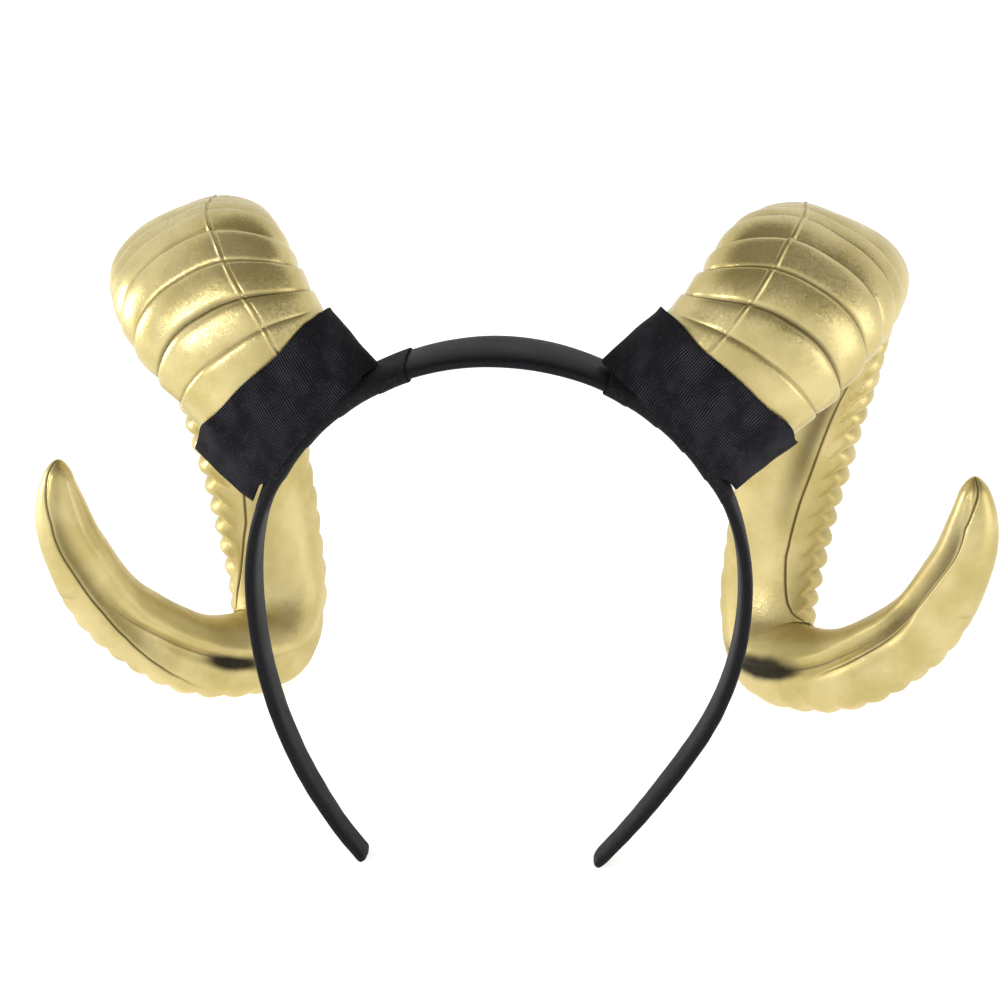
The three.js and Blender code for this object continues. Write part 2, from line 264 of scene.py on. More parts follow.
def makeHoop():
    count = hoop["columns"]
    halves = {}
    for side in ("left", "right"):
        whole = stripLength(side)
        rounding = hoop["endRound"][side]
        arch = np.linspace(0, archLength(), hoop["archRows"], endpoint=False)
        leg = np.linspace(archLength(), whole - rounding, hoop["legRows"])
        rings = stripRing(np.concatenate([arch, leg]), side, count)
        tips = [stripRing(np.array([whole - rounding * (1 - along)]), side, count, 0, share)
                for along, share in hoop["endRings"]]
        rings = np.concatenate([rings] + tips, 0)
        halves[side] = rings
    left = halves["left"][:0:-1] * np.array([-1, 1, 1])
    # The mirrored half keeps its columns in the same places, seen along the whole strip
    grid = np.concatenate([left, halves["right"]], 0)
    slack = unevenness(grid, 3, hoop["slackSize"])
    # Finer creases, drawn out along the legs
    below = smoothstep(-grid[..., 2], *hoop["creaseDrop"])
    creases = unevenness(grid * np.array([1, 1, hoop["creaseStretch"]]), 5, hoop["creaseSize"]) * below
    grid = grid + gridNormals(grid) * (hoop["wrinkle"] * (slack + creases))[..., None]
    ends = (grid[0].mean(0), grid[-1].mean(0))
    return gridMesh("hoop_satin", grid, ends=ends, cloth=clothPlaces(grid))


# Horns, from the same stations as their solids
horn = {
    "mountAngle": 45.0,
    "rootSlide": {"left": -2.0, "right": 1.5},  # degrees that each root sits further up the arch
    "spread": 82.0,
    "depth": 96.0,
    "height": 125.0,
    "breadth": 48.5,
    "thickness": 30.0,
    "firstRib": 23.5,
    "lastRib": 300.0,
    "ribPitch": (7.7, 6.4),
    "slant": 3.5,
    "bow": 5.0,
    "ribDepth": 1.9,
    "ribCrest": 0.78,  # how far through a rib its highest line is
    "ribFoot": 0.3,  # share of its height at which it begins
    "ribDrop": 0.62,  # share of its height that it drops after its highest line
    "groove": (0.3, 0.045),  # depth and width, as shares of a rib's height and length
    "edgeWaves": (76, 40),  # angle and width of the waves along the last turn's outer edge
    "edgeWaveHeight": 1.7,
    "knuckle": 1.35,
    "knuckleAt": (192, 24),  # angle and width
    "knuckleSlant": 3.0,
    "channel": 3.4,
    "seamRidge": 0.4,
    "seamWidth": 16,
    "bindingWall": 1.0,
    "tipRound": 5.0,
    "columns": 172,
    "seamLine": 0.42,
    "seamGap": {"left": 0.0, "right": 0.75},  # between the two lines of a double seam
    "frontSeam": 70,  # columns of the two seams, in degrees round the section
    "sideSeam": 215,
    "roundness": 0.86,
    "spreadPower": 22,
    "wrinkle": 0.22,
    "wrinkleSeed": {"left": 21, "right": 37},
    "slideFade": (0, 30),  # beyond the seat, over which the root's slide fades
    "slideFadeBack": (18, 45),
    "sideShade": {"left": 0.4, "right": 0.9},  # of the painted shade in bands beside the side seam
    "tipShade": {"left": 0.6, "right": 0.85},  # and along the last turn's valley
}

# out, back, up, wide, deep, turn, rib, skew, edge and channel
stations = np.array([
    [0.000, 0.000, 0.000, 0.91, 0.55, 0, 0.0, 0.0, 0.0, 0.0],
    [0.074, 0.004, 0.046, 0.91, 0.78, 0, 0.0, 0.3, 0.0, 0.0],
    [0.140, 0.016, 0.086, 0.92, 0.98, 4, 0.0, 0.6, 0.0, 0.0],
    [0.266, 0.060, 0.176, 0.98, 0.98, 10, 1.0, 1.0, 0.0, 0.0],
    [0.350, 0.161, 0.231, 1.00, 0.95, 14, 1.0, 1.0, 0.0, 0.0],
    [0.405, 0.303, 0.241, 0.97, 0.92, 16, 1.0, 1.0, 0.1, 0.0],
    [0.432, 0.445, 0.231, 0.93, 0.89, 18, 1.0, 1.0, 0.3, 0.0],
    [0.446, 0.626, 0.175, 0.87, 0.86, 18, 1.0, 1.0, 0.6, 0.0],
    [0.453, 0.802, 0.054, 0.81, 0.82, 18, 1.0, 1.0, 0.9, 0.0],
    [0.436, 0.953, -0.134, 0.75, 0.78, 18, 1.0, 0.9, 1.0, 0.0],
    [0.394, 1.010, -0.340, 0.69, 0.75, 16, 0.9, 0.8, 1.0, 0.0],
    [0.344, 1.016, -0.550, 0.64, 0.74, 14, 0.8, 0.6, 0.9, 0.0],
    [0.312, 0.979, -0.726, 0.60, 0.75, 12, 0.7, 0.4, 0.6, 0.1],
    [0.330, 0.896, -0.812, 0.56, 0.77, 10, 0.6, 0.2, 0.3, 0.4],
    [0.433, 0.786, -0.820, 0.51, 0.79, 6, 0.6, 0.0, 0.1, 0.8],
    [0.614, 0.688, -0.780, 0.46, 0.78, 0, 0.5, 0.0, 0.0, 1.0],
    [0.832, 0.599, -0.646, 0.41, 0.72, 0, 0.3, 0.0, 0.0, 0.9],
    [0.940, 0.533, -0.479, 0.34, 0.60, 0, 0.1, 0.0, 0.0, 0.6],
    [0.974, 0.519, -0.362, 0.26, 0.46, 0, 0.0, 0.0, 0.0, 0.2],
    [0.968, 0.510, -0.257, 0.11, 0.18, 0, 0.0, 0.0, 0.0, 0.0],
])
lastStation = len(stations) - 1
seatRadius = hoop["archRadius"] + 2 * clearance + horn["bindingWall"]
rootOut = seatRadius * math.cos(math.radians(horn["mountAngle"]))
rootUp = seatRadius * math.sin(math.radians(horn["mountAngle"]))
rootWay = normalized(np.array([rootOut, 0, rootUp]))

# Lengths from the root over which forms and marks change
reach = {
    "sharpRibs": (95, 135),  # these three fade
    "ridge": (185, 205),
    "sideTurn": (214, 240),
    "wrinkle": (15, 30),  # these five come in
    "edgeWaves": (205, 245),
    "cut": (256, 274),
    "foldTurn": (284, 304),
    "foldShade": (282, 304),
    "sideSeam": (12, 40, 214, 236),  # and these come in, are full, fade and are gone
    "slant": (95, 130, 225, 250),
    "fold": (236, 256, 284, 306),
    "sideBand": (96, 118, 150, 205),
    "tipBand": (266, 290, 322, 338),
}


def stationAt(at):
    # Values of the table at row numbers with fractions, on smooth curves through the rows.
    index = np.clip(np.floor(at).astype(int), 0, lastStation - 1)
    share = (at - index)[..., None]
    a, b, c, d = (stations[np.clip(index + i, 0, lastStation)] for i in (-1, 0, 1, 2))
    return b + 0.5 * share * (c - a + share * (2 * a - 5 * b + 4 * c - d + share * (3 * (b - c) + d - a)))


def hornCentre(at):
    s = stationAt(at)
    out, back, up = s[..., 0] * horn["spread"], s[..., 1] * horn["depth"], s[..., 2] * horn["height"]
    return np.stack([rootOut + out, back, rootUp + up], -1)


def hornFrame(at):
    # Centre, and the ways along, outwards and across a section.
    step = 0.02
    before, after = np.maximum(0, at - step), np.minimum(lastStation, at + step)
    along = normalized(hornCentre(after) - hornCentre(before))
    share = np.clip(1 - at, 0, 1)[..., None]
    along = normalized(along * (1 - share) + rootWay * share)
    centre = hornCentre(at)
    s = stationAt(at)
    towardsTip = smoothstep(at, lastStation - 4, lastStation - 1)
    outer = np.stack([
        towardsTip * (s[..., 0] - 0.5) * horn["spread"], (s[..., 1] - 0.5) * horn["depth"],
        centre[..., 2] - rootUp], -1)
    outer = normalized(outer - along * (outer * along).sum(-1, keepdims=True))
    turn = np.radians(s[..., 5])[..., None]
    outer = outer * np.cos(turn) + np.cross(along, outer) * np.sin(turn)
    return centre, along, outer, np.cross(outer, along)


def slideRoot(points, side):
    # A horn's root and cuff slid round the arch, which leaves the rest of the horn where it is
    x, y, z = np.moveaxis(points, -1, 0)
    beyond = smoothstep(np.hypot(x, z) - seatRadius, *horn["slideFade"])
    share = (1 - beyond) * (1 - smoothstep(y, *horn["slideFadeBack"]))
    turn = np.radians(horn["rootSlide"][side]) * share
    return np.stack([x * np.cos(turn) - z * np.sin(turn), y, z * np.cos(turn) + x * np.sin(turn)], -1)


lineRows = np.linspace(0, lastStation, 1201)
linePoints = hornCentre(lineRows)
lineLengths = np.concatenate([[0], np.cumsum(np.linalg.norm(np.diff(linePoints, axis=0), axis=1))])
hornLength = lineLengths[-1]


def rowAtLength(length):
    return np.interp(length, lineLengths, lineRows)


def rowLengths(at):
    return np.interp(at, lineRows, lineLengths)


def ribLengths():
    # Lengths from the root at which the ribs meet.
    meets = [horn["firstRib"]]
    root, tip = horn["ribPitch"]
    while meets[-1] < horn["lastRib"]:
        share = (meets[-1] - horn["firstRib"]) / (horn["lastRib"] - horn["firstRib"])
        meets.append(meets[-1] + root + (tip - root) * share)
    return np.array(meets)


ribMeets = ribLengths()


def ribShare(length):
    # How far through its rib a length is: 0 at the groove nearer the root, 1 at the next
    near = np.interp(length, ribMeets, np.arange(len(ribMeets)))
    share = near - np.floor(near)
    before = np.clip(1 - (ribMeets[0] - length) / horn["ribPitch"][0], 0.3, 1)
    after = np.full(np.shape(length), 0.5)
    return np.where(length < ribMeets[0], before, np.where(length >= ribMeets[-1], after, share))


def ribForm(share):
    # A rib is like a pillow that is highest near the tip's side: it rises slowly, rolls over and
    # drops into a thin groove
    crest, foot, (depth, width) = horn["ribCrest"], horn["ribFoot"], horn["groove"]
    rise = foot + (1 - foot) * (1 - (1 - np.clip(share / crest, 0, 1)) ** 2)
    drop = horn["ribDrop"] * np.clip((share - crest) / (1 - crest), 0, 1) ** 2
    groove = peak(np.minimum(share, 1 - share), width)
    return rise - drop - depth * groove, groove


def ribLag(length, angle):
    c = np.cos(np.radians(angle))
    skew = stationAt(rowAtLength(length))[..., 7]
    return skew * (horn["slant"] * c + horn["bow"] * c * c)


def foldForm(length, away):
    # Depth of the crease in the last turn: steep on the side towards the curl's middle at first,
    # and on the seam's side nearer the tip
    away = (away + 180) % 360 - 180
    late = smoothstep(length, *reach["foldTurn"])
    inner, outer = 9 + 17 * late, 27 - 17 * late  # widths in degrees
    return peak(away, np.where(away < 0, inner, outer))


def hornSkin(at, length, angle, gap=0.0, flare=(0.0, 0.0), ribs=True, sideCut=1.0, edgeOnly=1.0, fold=None):
    # Points on a horn's skin, or a gap outside it, and where its grooves are. sideCut is where the
    # ribs and knuckles are cut off by the seam on the horn's side, edgeOnly where the soft lobes of
    # its back are left, and fold the angle of the crease.
    s = stationAt(at)
    wide, deep, ribbing, edge, channel = (s[..., i] for i in (3, 4, 6, 8, 9))
    centre, along, outer, across = hornFrame(at)
    c, d = np.cos(np.radians(angle)), np.sin(np.radians(angle))
    fromTip = np.clip((hornLength - rowLengths(at)) / horn["tipRound"], 0.0005, 1)
    blunt = np.sqrt(1 - (1 - fromTip) ** 2)
    halfWide, halfDeep = blunt * wide * horn["breadth"] / 2, blunt * deep * horn["thickness"] / 2
    share = ribShare(length)
    height, groove = ribForm(share)
    # Sharp at the front, soft lobes on the back, and waves along the outer edge of the last turn
    sharp, late = 1 - smoothstep(length, *reach["sharpRibs"]), smoothstep(length, *reach["edgeWaves"])
    lobe = np.sin(np.pi * share) ** 0.8
    ribbed = ribbing * (0.5 + 0.5 * np.tanh((d + 0.35) * 6)) * sideCut
    ribbed = ribbed * (1 - late + horn["edgeWaveHeight"] * late * bumpAt(angle, *horn["edgeWaves"]))
    ribbed = ribbed * (sharp + (1 - sharp) * edgeOnly)
    height = lobe - 1 + (height - 0.85 - lobe + 1) * sharp
    relief = ribbed * height * horn["ribDepth"] if ribs else 0.0
    knuckle = edge * bumpAt(angle, *horn["knuckleAt"]) * lobe * horn["knuckle"] * edgeOnly
    valley = channel * horn["channel"] * (0.0 if fold is None else foldForm(length, angle - fold))
    seam = bumpAt(angle, horn["frontSeam"], horn["seamWidth"]) * np.minimum(1, wide * 2 - 0.3)
    swell = gap + relief + knuckle - valley + seam * horn["seamRidge"]
    spreadFold = np.abs(c) ** horn["spreadPower"] * np.where(c < 0, -flare[1], flare[0])
    u = np.sign(c) * np.abs(c) ** horn["roundness"] * (halfWide + swell) + spreadFold
    v = np.sign(d) * np.abs(d) ** horn["roundness"] * (halfDeep + swell)
    seatShare = np.clip(1 - at / 1.6, 0, 1)
    drop = seatRadius - np.sqrt(np.maximum(seatRadius ** 2 - u ** 2, 1))
    points = centre + across * u[..., None] + outer * v[..., None] - along * (drop * seatShare)[..., None]
    return points, ribbed * groove * sharp


def hornRows():
    # Lengths of the rows: close where a rib's lip and groove are, wider on its back
    shares = (0.0, 0.035, 0.08, 0.16, 0.32, 0.5, 0.66, 0.78, 0.84, 0.885, 0.925, 0.965)
    rows = list(np.linspace(0, horn["firstRib"] - 6.5, 8))
    rows += [horn["firstRib"] - away for away in (4.6, 3.0, 2.0, 1.4, 1.0, 0.7, 0.35)]
    for start, end in zip(ribMeets[:-1], ribMeets[1:]):
        rows += [start + (end - start) * share for share in shares]
    smooth = hornLength - ribMeets[-1]
    rows += list(hornLength - smooth * (1 - np.linspace(0, 0.97, 26)) ** 1.3)
    return np.array(rows)


def hornColumns():
    # Angles of the columns, closer at the two seams.
    angle = np.linspace(0, 360, 3601)
    density = 1 + 4.5 * bumpAt(angle, horn["frontSeam"], 5) + 3.5 * bumpAt(angle, horn["sideSeam"], 5)
    total = np.concatenate([[0], np.cumsum((density[1:] + density[:-1]) / 2)])
    return np.interp(np.linspace(0, total[-1], horn["columns"], endpoint=False), total, angle)


# Where the two seams of the mould, the crease and the stain run: lengths and angles, from the photograph
seamRoutes = {
    "left": {
        "front": ((0, 70), (60, 68), (120, 62), (200, 50), (226, 45), (262, 20), (286, 8), (296, 6),
                  (316, 11), (326, 10), (341, 40)),
        "side": ((0, 190), (60, 196), (140, 232), (179, 243), (189, 237), (207, 214), (214, 205)),
        "fold": ((230, 338), (262, 333), (278, 337), (288, 346), (298, 354), (318, 356), (341, 356)),
        "stain": (253.5, 0.1, 8.5)},  # length, how strong its haze is beyond the crease, and its size
    "right": {
        "front": ((0, 70), (60, 68), (120, 62), (200, 50), (226, 45), (262, -26), (291, -32),
                  (303, -27), (329, -22), (341, 10)),
        "side": ((0, 190), (60, 196), (140, 232), (178, 243), (197, 246), (216, 236)),
        "fold": ((230, 344), (242, 336), (253, 325), (268, 313), (276, 311), (292, 317), (310, 321),
                 (341, 338)),
        "stain": (242, 0.7, 9.5)},
}


def seamAngle(route, length):
    lengths, angles = zip(*route)
    return np.interp(length, lengths, angles)


def hornGrid(side, columns, length, front, back, fold):
    # Points of the skin, the angle round the section of each, and where the grooves are
    sideSeam = horn["sideSeam"]
    # The columns turn with the front seam; those near the side seam are drawn to it
    turn = front - horn["frontSeam"]
    local = (back - sideSeam - turn) * (1 - smoothstep(length, *reach["sideTurn"]))
    angle = (columns + turn + local * bumpAt(columns, sideSeam, 42)) % 360
    beyond = 1 - smoothstep(angle, 290, 291)
    sideCut = 1 - smoothstep(angle, back - 7, back + 1) * beyond
    edgeOnly = 1 - smoothstep(angle, back - 30, back - 8) * beyond
    slanted = (angle - back + 25) / 25 * horn["knuckleSlant"] * bumpAt(angle, back - 12, 30)
    lag = ribLag(length, angle) - slanted * shownBetween(length, *reach["slant"])
    at = rowAtLength(length - lag)
    grid, groove = hornSkin(at, length, angle, sideCut=sideCut, edgeOnly=edgeOnly, fold=fold)
    return slideRoot(grid, side), angle, groove


def seamDistances(grid, columns):
    # Distances from the front and the side seam, measured round the skin
    around = arcRound(grid)
    index = np.arange(len(columns))
    return [around[:, :-1] - np.array([np.interp(middle, index, row[:-1]) for row in around])[:, None]
            for middle in np.interp((horn["frontSeam"], horn["sideSeam"]), columns, index)]


def frontSeamShown(length):
    # The front seam is a ridge on the crest and the fall, and a cut along the last turn
    return 1 - smoothstep(length, *reach["ridge"]), smoothstep(length, *reach["cut"])


def fineForms(side, grid, length, angle, frontAway, sideAway):
    # Heights over the skin: the seams' ridges, line and cut, and the skin's puckers and lumps
    early, late = frontSeamShown(length)
    halfGap = horn["seamGap"][side] / 2
    lines = sum(peak(frontAway - offset, 0.42) for offset in {-halfGap, halfGap})  # one without a gap
    ridge = (lines - 0.5 * peak(frontAway + 0.75, 0.3)) * early
    ridge = ridge * (0.75 + 0.35 * unevenness(grid, 11, 5.0))
    cut = -1.1 * peak(frontAway, 0.4) * late
    line = -1.3 * peak(sideAway, 0.36) * shownBetween(length, *reach["sideSeam"])
    seed = horn["wrinkleSeed"][side]
    smoothSide = 1 - smoothstep(np.sin(np.radians(angle)), -0.5, 0.1)
    puckers = unevenness(grid, seed, 9.0) * (0.35 + 0.65 * smoothSide)
    lumps = unevenness(grid, seed + 1, 24.0)
    wrinkles = (0.4 * puckers + 0.8 * lumps) * smoothstep(length, *reach["wrinkle"])
    return horn["seamLine"] * (ridge + line + cut) + horn["wrinkle"] * wrinkles


def darkMarksAndShadePlaces(side, length, foldAway, groove, frontAway, sideAway):
    # Masks for the paint: painted shade in the grooves, the stain in the crease, and the dark seam lines
    # with painted shade along the crease and in bands beside the seams
    early, late = frontSeamShown(length)
    stainLength, haze, stainSize = seamRoutes[side]["stain"]
    stain = peak(foldAway - 6, 13) + haze * peak(foldAway + 14, 15)
    stain = stain * peak(length - stainLength, stainSize)
    frontLine = peak(frontAway, 0.35) * (0.45 * early + late)
    sideLine = peak(sideAway, 0.34) * shownBetween(length, *reach["sideSeam"])
    # Painted shade: a dark line in the crease and a broad darker band along it
    foldLine = peak(foldAway, 2.4) * shownBetween(length, *reach["fold"])
    foldShade = peak(foldAway, 11) * smoothstep(length, *reach["foldShade"])
    seams = np.maximum(frontLine, sideLine) + 0.9 * foldLine + 0.3 * foldShade
    # Each band of painted shade is wider on the side of the smooth skin
    sideBand = peak(sideAway - 3.2, np.where(sideAway < 3.2, 2.4, 4.2))
    tipBand = peak(frontAway + 1.5, np.where(frontAway > -1.5, 1.3, 3.2))
    seams = np.maximum(seams, horn["sideShade"][side] * sideBand * shownBetween(length, *reach["sideBand"]))
    seams = np.maximum(seams, horn["tipShade"][side] * tipBand * shownBetween(length, *reach["tipBand"]))
    return np.stack([np.clip(darkMarksAndShade, 0, 1) for darkMarksAndShade in (groove, stain, seams)], -1)


def makeHorn(side):
    rows, columns = hornRows(), hornColumns()
    length = np.repeat(rows[:, None], len(columns), 1)
    front, back, fold = (seamAngle(seamRoutes[side][name], length) for name in ("front", "side", "fold"))
    grid, angle, groove = hornGrid(side, columns, length, front, back, fold)
    frontAway, sideAway = seamDistances(grid, columns)
    heights = fineForms(side, grid, length, angle, frontAway, sideAway)
    grid = grid + gridNormals(grid) * heights[..., None]
    foldAway = (angle - fold + 180) % 360 - 180
    masks = darkMarksAndShadePlaces(side, length, foldAway, groove, frontAway, sideAway)
    ends = (slideRoot(hornCentre(np.array(0.0)), side), hornCentre(np.array(float(lastStation))))
    return gridMesh(f"horn_skin_{side}", grid, side == "left", ends=ends, masks=masks)


# Ribbon cuffs round the horns' roots
cuff = {
    "height": {"left": 14.6, "right": 15.5},
    "stand": 0.95,  # of the cloth's middle outside the horn
    "thick": 0.55,
    "flare": {"left": (0.7, 3.6), "right": (0.7, 1.6)},  # at the head's side, and away from it
    "skirt": 2.6,  # how far its lower edge hangs over the hoop's edges
    "cut": (0.35, 0.3),  # how much lower its foot and its rim are cut
    "rimWaves": ((3, 1, 0.45), (7, 3, 0.27)),  # waves round the rim, shift by the seed, and height
    "backDrop": {"left": 4.0, "right": 1.5},  # how much lower its rim is at the back
    "behind": (180, 208, 300, 345),  # angles over which that comes in and goes
    "folds": {  # angle round the horn, degrees that it slants over the cuff's height, and height
        "left": ((62, 30, 0.5), (100, -26, 0.45), (124, 18, 0.35), (30, 10, 0.3), (270, 20, 0.4)),
        "right": ((52, -24, 0.4), (84, 16, 0.35), (132, -14, 0.3), (260, -20, 0.4)),
    },
    "foldWidth": 5,
    "slack": ((0, 16.0, 0.28), (5, 6.0, 0.10)),  # shift of the seed, size and height
    "seed": {"left": 51, "right": 63},
    "hem": 0.22,  # how far its cut edges are rounded past both faces
    "rows": 46,
    "columns": 260,
}


def closedSleeve(outer, inner, footWay, rimWay, places):
    # Rows of a sleeve of ribbon: its foot, outer face, rim and inner face, and their cloth places
    foot = (outer[0] + inner[0]) / 2 + footWay
    rim = (outer[-1] + inner[-1]) / 2 + rimWay
    grid = np.concatenate([foot[None], outer, rim[None], inner[::-1]], 0)
    return grid, np.concatenate([places[:1], places, places[-1:], places[::-1]], 0)


def makeCuff(side):
    seed = cuff["seed"][side]
    angle = np.linspace(0, 360, cuff["columns"], endpoint=False)
    share = np.linspace(0, 1, cuff["rows"])[:, None]
    footCut, rimCut = cuff["cut"]
    low = -cuff["skirt"] * smoothstep(np.abs(np.sin(np.radians(angle))), 0.45, 0.85) - footCut
    waves = sum(height * np.sin(np.radians(angle * count + seed * shift))
                for count, shift, height in cuff["rimWaves"])
    backDrop = cuff["backDrop"][side] * shownBetween(angle, *cuff["behind"])
    high = cuff["height"][side] + waves - rimCut - backDrop
    length = low + (high - low) * share
    angles = np.repeat(angle[None], len(share), 0)
    at = rowAtLength(np.maximum(length, 0))
    walls = []
    for half in (cuff["thick"] / 2, -cuff["thick"] / 2):
        wall, _ = hornSkin(
            at, np.zeros_like(length), angles, cuff["stand"] + half, cuff["flare"][side], ribs=False)
        walls.append(wall + rootWay * np.minimum(length, 0)[..., None])
    middle = (walls[0] + walls[1]) / 2
    slack = sum(height * unevenness(middle, seed + shift, size) for shift, size, height in cuff["slack"])
    folds = sum(height * peak(angles - foldAngle - tilt * (share - 0.5), cuff["foldWidth"])
                for foldAngle, tilt, height in cuff["folds"][side])
    push = gridNormals(middle) * ((slack + folds) * smoothstep(share, -0.2, 0.25))[..., None]
    places = clothPlaces(middle)
    hem = rootWay * cuff["hem"]
    grid, cloth = closedSleeve(walls[0] + push, walls[1] + push, -hem, hem, places)
    grid = slideRoot(grid, side)
    piece = gridMesh(f"cuff_ribbon_{side}", grid, side == "left", looped=True, cloth=cloth)
    flat = (float(places[-1, 0, 1]) * millimetre, float(places[:, -1, 0].mean()) * millimetre)
    return piece, flat


# Ribbon bindings round the hoop
binding = {
    "angles": {"left": (20, 70), "right": (26, 65)},  # degrees from the top of the arch
    "thick": 0.4,
    "stand": 0.6,  # of its middle outside the hoop
    "taper": (0.25, 0.6, 0.25),  # share of its length that thins out, and how far both faces sink
    "rows": 90,
    "columns": 96,
    "turns": 4.4,  # overlapped turns of ribbon along the binding
    "turnLean": 0.6,
    "step": 0.28,
    "tightness": 0.1,  # how far the whole ribbon sinks in
    "hem": 0.2,
}


def makeBinding(side):
    start, end = (math.radians(a) * hoop["archRadius"] for a in binding["angles"][side])
    lengths = np.linspace(start, end, binding["rows"])
    columns = binding["columns"]
    around = np.linspace(0, 1, columns, endpoint=False)
    # A spiral of overlapped turns: each ends in a step over the next
    share = np.linspace(0, 1, len(lengths))[:, None]
    turnShare = share * binding["turns"] + around[None] * binding["turnLean"]
    step = (turnShare - np.floor(turnShare)) ** 3 * binding["step"]
    taperShare, outerSunk, innerSunk = binding["taper"]
    taper = 1 - smoothstep(1 - share, 0, taperShare)
    walls = []
    for half, depth in ((0.5, outerSunk), (-0.5, innerSunk)):
        wall = stripRing(lengths, side, columns, binding["stand"] + half * binding["thick"])
        height = step * (1 - taper) - binding["tightness"] - depth * taper
        walls.append(wall + gridNormals(wall) * height[..., None])
    outer, inner = walls
    footWay, rimWay = (binding["hem"] * normalized(outer[end].mean(0) - outer[beside].mean(0))
                       for end, beside in ((0, 1), (-1, -2)))
    places = clothPlaces(outer)
    grid, cloth = closedSleeve(outer, inner, footWay, rimWay, places)
    piece = gridMesh(f"binding_ribbon_{side}", grid, side == "left", looped=True, cloth=cloth)
    flat = (float(places[:, -1, 0].mean()) * millimetre, float(places[-1, 0, 1]) * millimetre)
    return piece, flat


# Node groups shared by the materials
def newGroup(name, inputs, outputs):
    group = bpy.data.node_groups.new(name, "ShaderNodeTree")
    for label, kind, value in inputs:
        socket = group.interface.new_socket(label, in_out="INPUT", socket_type=kind)
        if value is not None:
            socket.default_value = value
    for label, kind in outputs:
        group.interface.new_socket(label, in_out="OUTPUT", socket_type=kind)
    return group, group.nodes.new("NodeGroupInput"), group.nodes.new("NodeGroupOutput")


def mathNode(tree, operation, first, second=None, third=None):
    node = tree.nodes.new("ShaderNodeMath")
    node.operation = operation
    for i, value in enumerate((first, second, third)):
        if value is None:
            continue
        if isinstance(value, (int, float)):
            node.inputs[i].default_value = value
        else:
            tree.links.new(value, node.inputs[i])
    return node.outputs[0]


def vectorNode(tree, operation, first, second=None):
    node = tree.nodes.new("ShaderNodeVectorMath")
    node.operation = operation
    tree.links.new(first, node.inputs[0])
    if isinstance(second, tuple):
        node.inputs[1].default_value = second
    elif second is not None:
        tree.links.new(second, node.inputs["Scale" if operation == "SCALE" else 1])
    return node.outputs[0]


def mixColour(tree, share, first, second):
    node = tree.nodes.new("ShaderNodeMix")
    node.data_type = "RGBA"
    for socket, value in ((0, share), (6, first), (7, second)):
        if isinstance(value, (int, float)):
            node.inputs[socket].default_value = value
        elif isinstance(value, tuple):
            node.inputs[socket].default_value = (*value, 1.0)
        else:
            tree.links.new(value, node.inputs[socket])
    return node.outputs[2]


def noiseNode(tree, vector, scale, detail=2.0, roughness=0.5):
    node = tree.nodes.new("ShaderNodeTexNoise")
    node.inputs["Detail"].default_value = detail
    node.inputs["Roughness"].default_value = roughness
    tree.links.new(vector, node.inputs["Vector"])
    if isinstance(scale, (int, float)):
        node.inputs["Scale"].default_value = scale
    else:
        tree.links.new(scale, node.inputs["Scale"])
    return node.outputs["Fac"]


def spread(tree, value, low, high, toLow=0.0, toHigh=1.0):
    # A value's range low to high spread over toLow to toHigh, held at both ends.
    node = tree.nodes.new("ShaderNodeMapRange")
    node.interpolation_type = "SMOOTHSTEP"
    tree.links.new(value, node.inputs["Value"])
    for label, number in (("From Min", low), ("From Max", high), ("To Min", toLow), ("To Max", toHigh)):
        node.inputs[label].default_value = number
    return node.outputs["Result"]


grainDistance = 0.0003  # metres, of the roughness under the flakes


def grainGroup():
    # Metal flake in paint: small cells that lean at random and catch the light one by one, over a
    # fine roughness, with slow changes of tone
    group, inside, outside = newGroup(
        "paintGrain",
        [("Flake Size", "NodeSocketFloat", 0.0005), ("Flake Lean", "NodeSocketFloat", 0.1),
         ("Roughness Height", "NodeSocketFloat", 0.2), ("Unevenness Size", "NodeSocketFloat", 0.02)],
        [("Normal", "NodeSocketVector"), ("Flake", "NodeSocketFloat"), ("Tone", "NodeSocketFloat")])
    place = group.nodes.new("ShaderNodeTexCoord").outputs["Object"]
    flakeScale = mathNode(group, "DIVIDE", 1.0, inside.outputs["Flake Size"])
    cells = group.nodes.new("ShaderNodeTexVoronoi")
    group.links.new(place, cells.inputs["Vector"])
    group.links.new(flakeScale, cells.inputs["Scale"])
    parts = group.nodes.new("ShaderNodeSeparateColor")
    group.links.new(cells.outputs["Color"], parts.inputs["Color"])
    group.links.new(parts.outputs["Red"], outside.inputs["Flake"])
    fine = noiseNode(group, place, flakeScale, 3.0, 0.65)
    rough = bumpNode(group, fine, 1.0, grainDistance)
    group.links.new(inside.outputs["Roughness Height"], rough.node.inputs["Strength"])
    lean = vectorNode(group, "SUBTRACT", cells.outputs["Color"], (0.5, 0.5, 0.5))
    lean = vectorNode(group, "SCALE", lean, inside.outputs["Flake Lean"])
    normal = vectorNode(group, "NORMALIZE", vectorNode(group, "ADD", rough, lean))
    group.links.new(normal, outside.inputs["Normal"])
    toneScale = mathNode(group, "DIVIDE", 1.0, inside.outputs["Unevenness Size"])
    group.links.new(noiseNode(group, place, toneScale, 3.0, 0.55), outside.inputs["Tone"])
    return group


# Ribbed cloth. Noises: scale for a millimetre, detail, and roughness
weaving = {
    "wobble": 1.2,  # millimetres that the ribs wander
    "wobbleNoise": (0.14, 1.0),
    "threadHeight": 0.15,  # as a share of the ribs'
    "ribSharpness": 3.0,
    "sheenPatchNoise": (0.1, 3.0, 0.6),
    "sheenPatchRange": (0.38, 0.64, 0.3, 1.0),
    "lintNoise": (1.1, 4.0, 0.7),
    "lintRange": (0.5, 0.75),
    "lintShare": 0.6,
    "ribPolish": -0.12,  # change of roughness on the ribs' backs
    "threadDepth": 0.00012,  # metres
}


